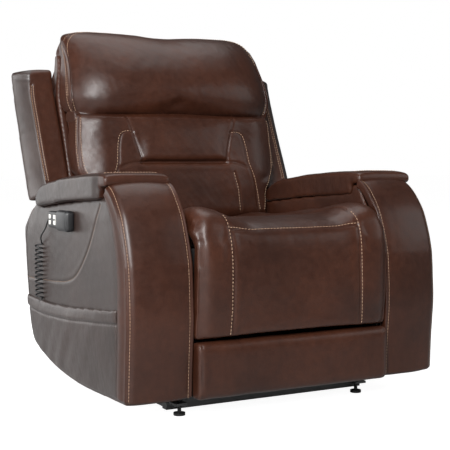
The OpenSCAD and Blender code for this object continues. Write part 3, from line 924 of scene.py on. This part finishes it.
def back_outer():
    """The back's outer cover, and the loose flap that hangs below it."""
    outer = spline([(748, 553), (806, 690), (872, 850), (902, 945), (912, 1010)], 6)
    inner = spline([(898, 1012), (888, 947), (858, 852), (792, 692), (736, 553)], 6)
    obj = padded("back_outer_cover", np.vstack([outer, inner]), -BACK_HALF, BACK_HALF, 5.0, 10, 22.0)
    p = coords(obj)
    n = normals(obj)
    inside = np.clip(1 - (p[:, 0] / BACK_HALF) ** 6, 0, 1)
    x = np.abs(p[:, 0]) / BACK_HALF
    p[:, 1] -= 8 * x**8
    p[:, 0] *= 1 - 0.11 * smoothstep(p[:, 2], 885, 1010)
    p[:, 2] -= smoothstep(p[:, 2], 930, 1010) * 30 * x**6
    rise = np.clip((p[:, 2] - 553) / 460, 0, 1)
    p[:, 1] += smoothstep(n[:, 1], 0.2, 0.8) * 4 * inside * np.sin(rise * math.pi)
    place(obj, p)
    refine(obj)

    def outer_at(x, z):
        return (x, float(np.interp(z, outer[:, 1], outer[:, 0])) + 3, z)

    seams = both(np.array([outer_at(300, z) for z in np.linspace(565, 968, 40)]))
    seams.append(np.array([outer_at(x, 970) for x in np.linspace(-300, 300, 60)]))
    groove(obj, seams, 2.6, 3.4)
    p = coords(obj)
    drape = 1.6 * wave(p * [1, 0.4, 0.3], 120, 53) + 0.5 * wave(p, 40, 54)
    place(obj, p + normals(obj) * drape[:, None])
    finish(obj, LEATHER, "backrest", ["back_outer_panel"])
    sewn("back_outer_stitches", obj, seams, "backrest", pitch=8.0, length=6.0, radius=0.85)
    flap = padded("back_flap", [(740, 310), (747, 310), (748, 556), (740, 556)], -288, 288, 5.0, 2)
    p = coords(flap)
    hang = smoothstep(556 - p[:, 2], 0, 240)
    p[:, 1] += hang * (5 * np.sin(p[:, 0] / 41.0) + 3 * np.sin(p[:, 0] / 23.0 + 1))
    place(flap, p)
    refine(flap)
    finish(flap, LEATHER, "backrest")


# ---------------------------------------------------------------- arms

ARM_FRONT = [(124, 605), (103, 599), (84, 587), (62, 566), (30, 524), (6, 468), (-8, 420), (-14, 384),
             (-20, 277), (-13, 168), (-8, 64)]
OUTER_ROUND = 26.0
INNER_ROUND = 7.0
PANEL_THICK = 24.0


def arm_front_section(x_in, x_out, back):
    """One section of the front panel: x, and the depth behind the line. Its outer edge wraps back."""
    ring = [(x_in, PANEL_THICK), (x_in, 16)]
    for a in np.linspace(0, 1.45, 6):
        ring.append((x_in + INNER_ROUND * (1 - math.cos(a)), INNER_ROUND * (1 - math.sin(a))))
    flat = x_out - OUTER_ROUND - 8 - x_in
    for t in np.linspace(0.02, 0.98, 24):
        ring.append((x_in + 8 + flat * t, -5.0 * math.sin(math.pi * t) ** 0.8))
    turn = x_out - OUTER_ROUND
    for a in np.linspace(0.05, math.pi / 2, 9):
        ring.append((turn + OUTER_ROUND * math.sin(a), OUTER_ROUND * (1 - math.cos(a))))
    for t in np.linspace(0.1, 1, 8):
        ring.append((x_out + 2.0 * math.sin(math.pi * t), OUTER_ROUND + (back - OUTER_ROUND - 2) * t))
    ring += [(x_out - 3, back + 1), (x_out - 8, back), (x_out - 9, 40), (x_out - 10, 26), (x_out - 24, 24)]
    for t in np.linspace(0.05, 0.95, 10):
        ring.append((x_out - 24 + (x_in - x_out + 24) * t, PANEL_THICK))
    return ring


def arm_front(side, name):
    """A padded front panel that wraps round on to the outer side."""
    line = even(spline(ARM_FRONT, 8), 6.0)
    inward = sideways(line)
    wrap = np.interp(line[:, 1], [60, 300, 520, 590, 603], [62, 66, 58, 46, 34])
    x_in = ARM_IN - 7
    x_out = HALF_W + 1
    points = []
    for (y, z), (ny, nz), back in zip(line, inward, wrap):
        ring = arm_front_section(x_in, x_out, back)
        points += [(side * x, y + ny * depth, z + nz * depth) for x, depth in ring]
    faces = ring_faces(len(line), len(ring), side < 0)
    obj = make(f"arm_front_cover_{name}", points, faces)
    refine(obj)

    def along(x, depth):
        yz = line + inward * depth
        return np.column_stack([np.full(len(yz), side * x), yz])

    groove(obj, [along(x_in + 4, 1), along(x_out - 3, 14)], 2.6, 3.2)
    uneven(obj, (0.8, 110, 63 + side), (0.25, 34, 66))
    finish(obj, LEATHER, "seat_carriage", [f"arm_front_panel_{name}"])
    rows = [along(x_in + 12, -4), along(x_out - 9, 7)]
    sewn(f"arm_front_stitches_{name}", obj, rows, "seat_carriage", pitch=8.5, length=6.6, radius=0.9)


def arm_pad(side, name):
    """The padded armrest, which ends in a cap over the front panel."""
    under = spline([(200, 561), (289, 556), (380, 551), (465, 543), (560, 534), (609, 529)], 4)
    over = spline([(626, 566), (568, 592), (460, 608), (373, 617), (247, 625), (160, 627)], 5)
    front = arc((124, 610), 16, 100, 245)
    outline = np.vstack([front, [(151, 596), (156, 566)], under, arc((622, 546), 18, -80, 50), over])
    low, high = ARM_IN - 5, HALF_W + 5
    obj = padded(f"arm_pad_cover_{name}", outline, side * low, side * high, 5.0, 12, 3.4)
    p = coords(obj)
    n = normals(obj)
    across = np.clip((np.abs(p[:, 0]) - (low + high) / 2) / ((high - low) / 2), -1, 1)
    crown = (1 - across**4) * smoothstep(n[:, 2], 0.1, 0.9)
    p[:, 2] += 5.0 * crown - 2.0
    rear = smoothstep(p[:, 1], 150, 185) * smoothstep(650 - p[:, 1], 0, 60)
    p[:, 0] += side * smoothstep(n[:, 0] * side, 0.2, 0.9) * 6.0 * rear
    place(obj, p)
    top_line = [(146, 624), (247, 622), (373, 612), (460, 603), (568, 588), (612, 570)]
    top = spline([(0, y, z) for y, z in top_line], 8)
    seams = [top + [side * (high - 20), 0, -3], top + [side * (low + 18), 0, -3]]
    cross = spline([(low + 16, 149, 622), ((low + high) / 2, 148, 629), (high - 18, 149, 622)], 10)
    cross = cross * [side, 1, 1]
    refine(obj)
    groove(obj, seams, 2.6, 3.2)
    groove(obj, [cross], 3.0, 3.2)
    uneven(obj, (0.7, 70, 73 + side), (0.3, 24, 74))
    finish(obj, LEATHER, None, [f"arm_pad_{name}"])
    # The outward-facing rear of the pad's side gets the greyer leather, a painted reflection.
    painted_reflection_cut(obj, lambda p, n: (np.abs(p[:, 0]) > high - 13) & (n[:, 0] * side > 0.25) & (p[:, 1] > 152))
    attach(obj, "seat_carriage")
    row_behind = cross + [0, 8, 0]
    sewn(f"arm_pad_stitches_{name}", obj, [row_behind], "seat_carriage", pitch=8.5, length=6.6, radius=1.0)


PANEL_SEAM = [(172, 548), (188, 520), (210, 483), (238, 442), (272, 404), (310, 370), (358, 342), (425, 326),
              (520, 318), (640, 312), (750, 308)]
REAR_SEAM = [(735, 485), (752, 420), (738, 262), (722, 200), (690, 134)]


def arm_side_outline(shoulder_line):
    """A side cover's outline. Its front runs down from the given points."""
    bottom = [(308, 53), (430, 60), (540, 74), (626, 94), (700, 120), (728, 160), (745, 208), (756, 261)]
    rear = [(766, 330), (778, 420), (781, 460)]
    top = [(752, 485), (713, 514), (646, 546), (636, 527), (609, 527), (465, 542), (289, 557), (156, 567)]
    front = shoulder_line + [(60, 500), (36, 430), (30, 384), (24, 277), (24, 168), (20, 62)]
    return np.vstack([spline([(17, 57), (160, 55)] + bottom + rear, 5), spline(top[:3], 4), top[3:], front])


def arm_outer(side, name):
    """The outer side cover, with its curved panel seam."""
    outline = arm_side_outline([(124, 560), (96, 545)])
    x_face = HALF_W - 9
    obj = padded(f"arm_outer_cover_{name}", outline, side * (x_face - 11), side * x_face, 5.5, 3)
    p = coords(obj)
    outward = smoothstep(normals(obj)[:, 0] * side, 0.3, 0.9)
    rim = np.column_stack([np.zeros(len(outline)), outline])
    inside = smoothstep(nearness(p * [0, 1, 1], rim, 6.0), 0, 60)
    p[:, 0] += side * outward * inside * 4.0
    place(obj, p)
    refine(obj)
    seams = []
    for points in (PANEL_SEAM, REAR_SEAM):
        line = spline(points, 8)
        seams.append(np.column_stack([np.full(len(line), side * (x_face + 2.5)), line]))
    groove(obj, seams, 2.2, 3.0)
    p = coords(obj)
    pull = smoothstep(p[:, 1], 420, 700) * smoothstep(p[:, 2], 300, 60)
    ripple = 0.8 * wave(p, 120, 83 + side) + 0.3 * wave(p, 36, 84)
    ripple += 1.5 * pull * wave(p * [1, 0.5, 1.6], 60, 85)
    place(obj, p + normals(obj) * ripple[:, None])
    # The whole outer cover gets the greyer leather, a painted reflection of the side lights.
    finish(obj, SIDE_PAINTED_REFLECTION, "seat_carriage", [f"arm_outer_panel_{name}"])
    sewn(f"arm_outer_stitches_{name}", obj, seams[:1], "seat_carriage", pitch=6.5, length=4.8, radius=0.5,
         lift=0.1)


def arm_inner(side, name):
    """The inner side cover."""
    outline = arm_side_outline([(152, 592), (122, 588), (110, 572), (96, 547)])
    obj = padded(f"arm_inner_cover_{name}", outline, side * (ARM_IN + 0.5), side * (ARM_IN + 11), 6.0, 3)
    uneven(obj, (0.7, 110, 93 + side))
    refine(obj)
    finish(obj, LEATHER, "seat_carriage", [f"arm_inner_panel_{name}"])


def arm_rear(side, name):
    """The cover strip that closes the arm between its side covers, over the back, bottom and deck."""
    under = spline([(20, 60), (160, 58), (308, 56), (430, 63), (540, 77), (626, 97), (700, 123), (728, 163),
                    (742, 208), (753, 261), (763, 330), (775, 420), (778, 458)], 6)
    line = even(np.vstack([under, [(750, 482), (712, 511), (648, 541)]]), 8.0)
    xs = np.linspace(ARM_IN + 4, HALF_W - 11, 22)
    puff = 3.0 * (1 - np.abs(np.linspace(-1, 1, len(xs))) ** 4)
    points = []
    for (y, z), (ny, nz) in zip(line, -sideways(line)):
        points += [(side * x, y + ny * b, z + nz * b) for x, b in zip(xs, puff)]
        points += [(side * x, y - ny * 5, z - nz * 5) for x in xs[::-1]]
    obj = make(f"arm_rear_cover_{name}", points, ring_faces(len(line), 2 * len(xs), side > 0))
    uneven(obj, (0.8, 90, 103 + side))
    finish(obj, LEATHER, "seat_carriage")


def pocket(side, name):
    """A hanging pocket with a hem band, bulging towards its bottom."""
    top = spline([(62, 292), (170, 282), (255, 275), (340, 267), (427, 262), (510, 258), (593, 256),
                  (690, 258), (736, 260)], 5)
    bottom = spline([(728, 214), (706, 156), (690, 128), (620, 100), (540, 82), (420, 68), (308, 62),
                     (180, 62), (62, 68)], 5)
    outline = np.vstack([top, bottom])
    obj = padded(f"side_pocket_cover_{name}", outline, side * (HALF_W - 12), side * (HALF_W - 4), 5.0, 5)
    p = coords(obj)
    outward = smoothstep(normals(obj)[:, 0] * side, 0.2, 0.8)
    along = np.clip((p[:, 1] - 62) / 676, 0, 1)
    hem_z = np.interp(p[:, 1], top[:, 0], top[:, 1])
    low_z = np.interp(p[:, 1], bottom[::-1, 0], bottom[::-1, 1])
    up = np.clip((p[:, 2] - low_z) / np.maximum(hem_z - low_z, 1), 0, 1)
    body = np.sin(np.pi * along) ** 0.7 * (0.35 * up + 0.75 * np.sin(np.pi * np.clip(1 - up, 0, 1) ** 0.8))
    hem = smoothstep(hem_z - p[:, 2], 40, 32) * 4.0
    slack = np.sin(np.pi * along) * (1 - up) ** 0.7
    fold_lines = np.column_stack([0 * p[:, 0], p[:, 1] + 0.9 * p[:, 2], 0.35 * p[:, 2]])
    folds = 6.5 * slack * wave(fold_lines, 95, 113 + side)
    p[:, 0] += side * outward * (17 * body + hem + folds)
    p[:, 0] += side * (1 - outward) * smoothstep(up, 0.7, 1) * 6 * np.sin(np.pi * along)
    place(obj, p)
    refine(obj)
    hem_line = np.array([(0, y, z - 36) for y, z in top])
    p = coords(obj)
    d = nearness(p * [0, 1, 1], hem_line, 3.0)
    facing = smoothstep(normals(obj)[:, 0] * side, 0.2, 0.8)
    p[:, 0] -= side * facing * 3.4 * np.exp(-((d / 4.0) ** 2))
    place(obj, p + normals(obj) * (0.8 * wave(p, 60, 115) + 0.4 * wave(p, 22, 116))[:, None])
    # The pocket gets the greyer leather, a painted reflection of the side lights.
    finish(obj, SIDE_PAINTED_REFLECTION, "seat_carriage", [f"side_pocket_{name}"])


def back_side(side, name):
    """The side wall of the back, between the cushions and the outer cover."""
    outline = np.vstack([spline([(702, 545), (746, 548), (806, 690), (868, 850), (890, 930), (892, 990)], 5),
                         [(862, 990), (796, 800)]])
    obj = padded(f"back_side_cover_{name}", outline, side * BACK_WALL_IN, side * BACK_WALL_OUT, 5.5, 5)
    p = coords(obj)
    p[:, 0] *= shoulder(p)
    place(obj, p + normals(obj) * (0.8 * wave(p, 70, 123 + side))[:, None])
    refine(obj)
    finish(obj, LEATHER, "backrest")


def skirt():
    """The leather skirt across the back, low down."""
    outline = [(705, 130), (711, 130), (725, 172), (740, 214), (744, 231), (738, 231), (733, 214), (718, 172)]
    obj = padded("rear_skirt_cover", outline, -(ARM_IN - 5), ARM_IN - 5, 4.0, 2)
    p = coords(obj)
    p[:, 1] += 2.2 * np.sin(p[:, 0] / 27) * smoothstep(230 - p[:, 2], 0, 90)
    place(obj, p)
    refine(obj)
    finish(obj, LEATHER, "seat_carriage", ["rear_skirt"])


# ---------------------------------------------------------------- handset cord

def cord():
    """A coiled cord from the pocket up to the handset."""
    lo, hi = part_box("coil_cord")
    centre_x = 500 * (lo.x + hi.x)
    centre_y = 500 * (lo.y + hi.y) + MID_Y
    turns, radius, wire = 12, 10.2, 2.3
    top, bottom = 418.0, 262.0
    a = np.linspace(0, 2 * math.pi * turns, turns * 22)
    z = np.linspace(top, bottom, len(a))
    sway = 3.0 * np.sin(np.linspace(0, math.pi, len(a)))
    coil = np.column_stack([centre_x + radius * np.cos(a), centre_y + sway + radius * np.sin(a), z])
    tail = spline([coil[-1], (centre_x + 2, centre_y + 2, bottom - 14),
                   (centre_x + 9, centre_y - 4, bottom - 34)], 8)
    obj = tube("cord_coil", np.vstack([coil, tail[1:]]), wire, FINISHES["cord_rubber"])
    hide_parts("coil_cord")
    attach(obj, "seat_carriage")
    hand_lo, hand_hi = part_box("handset")
    end = (500 * (hand_lo.x + hand_hi.x), 1000 * hand_hi.y + MID_Y, 500 * (hand_lo.z + hand_hi.z))
    lead_path = spline([end, (end[0] - 1, end[1] + 16, end[2] - 4), (end[0] - 2, end[1] + 38, end[2] - 28),
                        (centre_x - 2, centre_y - 26, 442), (centre_x + 6, centre_y - 6, 426), coil[0]], 8)
    lead = tube("cord_lead", lead_path, wire, FINISHES["cord_rubber"])
    blended(lead)


# ---------------------------------------------------------------- handset

def rounded_box(name, low, high, radius, slot, body=None, nodes=()):
    """A box with well rounded edges, from its two corners."""
    obj = box_mesh(name, low, high)
    bevel = obj.modifiers.new("round", "BEVEL")
    bevel.width = radius / 1000
    bevel.segments = 5
    bake(obj)
    return finish(obj, FINISHES[slot], body, nodes)


def hollow(obj, low, high):
    """Cuts a box-shaped pocket out of an object."""
    cutter = box_mesh("cutter", low, high)
    cut = obj.modifiers.new("cut", "BOOLEAN")
    cut.operation = "DIFFERENCE"
    cut.solver = "EXACT"
    cut.object = cutter
    bake(obj)
    bpy.data.objects.remove(cutter)


def corners(node):
    """A CAD node's two corners, in drafting millimetres."""
    low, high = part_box(node)
    shift = np.array([0.0, MID_Y, 0.0])
    return np.array(low) * 1000 + shift, np.array(high) * 1000 + shift


def controls():
    """The handset, its buttons, the holster that carries it and a pale strip on the handset that paints a
    highlight.
    """
    low, high = corners("handset_holster")
    shell = rounded_box("holster_shell", low - [2, 2, 2], high + [0, 0, 2], 11, "black_plastic",
                        nodes=["handset_holster"])
    body_low, body_high = corners("handset")
    hollow(shell, body_low + [-1.2, -1.5, -0.8], body_high + [1.2, 20, 0.8])
    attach(shaded(shell), "seat_carriage")
    rounded_box("handset_body", body_low, body_high - [0, 7, 0], 6.5, "black_plastic", "handset", ["handset"])
    for button in ("button_recline", "button_return", "button_lift", "button_lower"):
        rounded_box(f"{button}_cap", *corners(button), 1.8, "pale_plastic", button, [button])
    # A thin pale strip down the handset's outer face, ahead of the buttons: a painted highlight on the handset's
    # end.
    y = corners("button_lower")[0][1] - 44
    highlight_low = (body_low[0] - 0.8, y, body_low[2] + 9)
    highlight_high = (body_low[0] + 2, y + 4, body_high[2] - 9)
    rounded_box("handset_painted_highlight", highlight_low, highlight_high, 0.8, "pale_plastic", "handset")


# ---------------------------------------------------------------- hard parts

WRAPPED = ("back_frame", "headrest_board", "ottoman_board", "footboard")
EDGE_WIDTHS = {"black_steel": 0.0007, "timber": 0.0012, "grey_plastic": 0.0007, "black_plastic": 0.0007,
               "pale_plastic": 0.0007}


def hard_parts():
    """Materials and softened edges for the CAD parts that stay visible. Some boards are wrapped in cloth."""
    slots = {s["node"]: s["material_slot"] for s in frame["record"]["subparts"]}
    for name, obj in frame["nodes"].items():
        obj.data.materials.clear()
        obj.data.materials.append(DARK_CLOTH_AND_SHADE if name in WRAPPED else FINISHES[slots[name]])
        if slots[name] in EDGE_WIDTHS:
            bevel = obj.modifiers.new("edge", "BEVEL")
            bevel.width = EDGE_WIDTHS[slots[name]]
            bevel.segments = 2
            bevel.limit_method = "ANGLE"
            bevel.angle_limit = math.radians(40)


# ---------------------------------------------------------------- build

hard_parts()
chaise()
footboard()
back_cushion()
headrest()
neck()
for side, name in ((-1, "right"), (1, "left")):
    wing(side, name)
    back_side(side, name)
    arm_front(side, name)
    arm_pad(side, name)
    arm_outer(side, name)
    arm_inner(side, name)
    arm_rear(side, name)
    pocket(side, name)
back_outer()
skirt()
cord()
controls()


# ---------------------------------------------------------------- stage

CAMERA_AT = (-1501, -2354, 667)
CAMERA_YAW = 28.96
CAMERA_PITCH = 3.6
CAMERA_LENS = 85.2


def aim(obj, location, direction):
    """Places a light or camera and turns it to look along a direction."""
    obj.location = location
    obj.rotation_mode = "QUATERNION"
    obj.rotation_quaternion = direction.to_track_quat("-Z", "Y")


def area(name, location, target, size, power):
    """A rectangular light that the camera doesn't see."""
    data = bpy.data.lights.new(name, "AREA")
    data.shape = "RECTANGLE"
    data.size, data.size_y = size
    data.energy = power
    obj = added(name, data)
    aim(obj, location, Vector(target) - Vector(location))
    obj.visible_camera = False


def seen_brighter(tree, to_light, to_camera, socket):
    """Gives a socket one value for what lights the object and another for what the camera sees."""
    path = tree.nodes.new("ShaderNodeLightPath")
    between(tree, path.outputs["Is Camera Ray"], to_light, to_camera, socket)


def studio():
    """A pale floor, a key from the front left, two big panels left and behind, a fill and a top light."""
    floor = bpy.data.meshes.new("floor")
    floor.from_pydata([(-30, -30, 0), (30, -30, 0), (30, 30, 0), (-30, 30, 0)], [], [(0, 1, 2, 3)])
    obj = added("floor", floor)
    material, tree, surface = nodes_of("pale_floor")
    surface.inputs["Base Color"].default_value = (0.42, 0.42, 0.42, 1)
    surface.inputs["Roughness"].default_value = 0.6
    surface.inputs["Emission Color"].default_value = (1, 1, 1, 1)
    seen_brighter(tree, 0.06, 0.95, surface.inputs["Emission Strength"])
    floor.materials.append(material)
    world = bpy.data.worlds.new("studio")
    bpy.context.scene.world = world
    world.use_nodes = True
    background = world.node_tree.nodes["Background"]
    background.inputs[0].default_value = (1, 1, 1, 1)
    seen_brighter(world.node_tree, 0.085, 1.0, background.inputs[1])
    area("key", (-2.1, -2.8, 2.3), (0, 0, 0.6), (1.0, 2.4), 250)
    area("side", (-2.3, 4.3, 1.3), (-0.4, 0.2, 0.5), (3.0, 2.4), 44)
    area("left", (-3.8, 0.3, 1.4), (-0.4, 0.4, 0.8), (2.8, 1.8), 120)
    area("fill", (3.2, -2.4, 2.2), (0, 0, 0.5), (2.4, 2.0), 30)
    area("top", (0.3, 0.6, 3.6), (0, 0, 0.3), (2.6, 2.6), 48)


def camera():
    """A long lens at seat height, on the sitter's right of straight ahead."""
    data = bpy.data.cameras.new("camera")
    data.sensor_width = 36.0
    data.lens = CAMERA_LENS
    data.clip_start, data.clip_end = 0.05, 200
    yaw, pitch = math.radians(CAMERA_YAW), math.radians(CAMERA_PITCH)
    look = Vector((math.sin(yaw) * math.cos(pitch), math.cos(yaw) * math.cos(pitch), -math.sin(pitch)))
    obj = added("camera", data)
    aim(obj, row(CAMERA_AT)[0], look)
    bpy.context.scene.camera = obj


studio()
camera()
bpy.context.scene.view_settings.view_transform = "Standard"
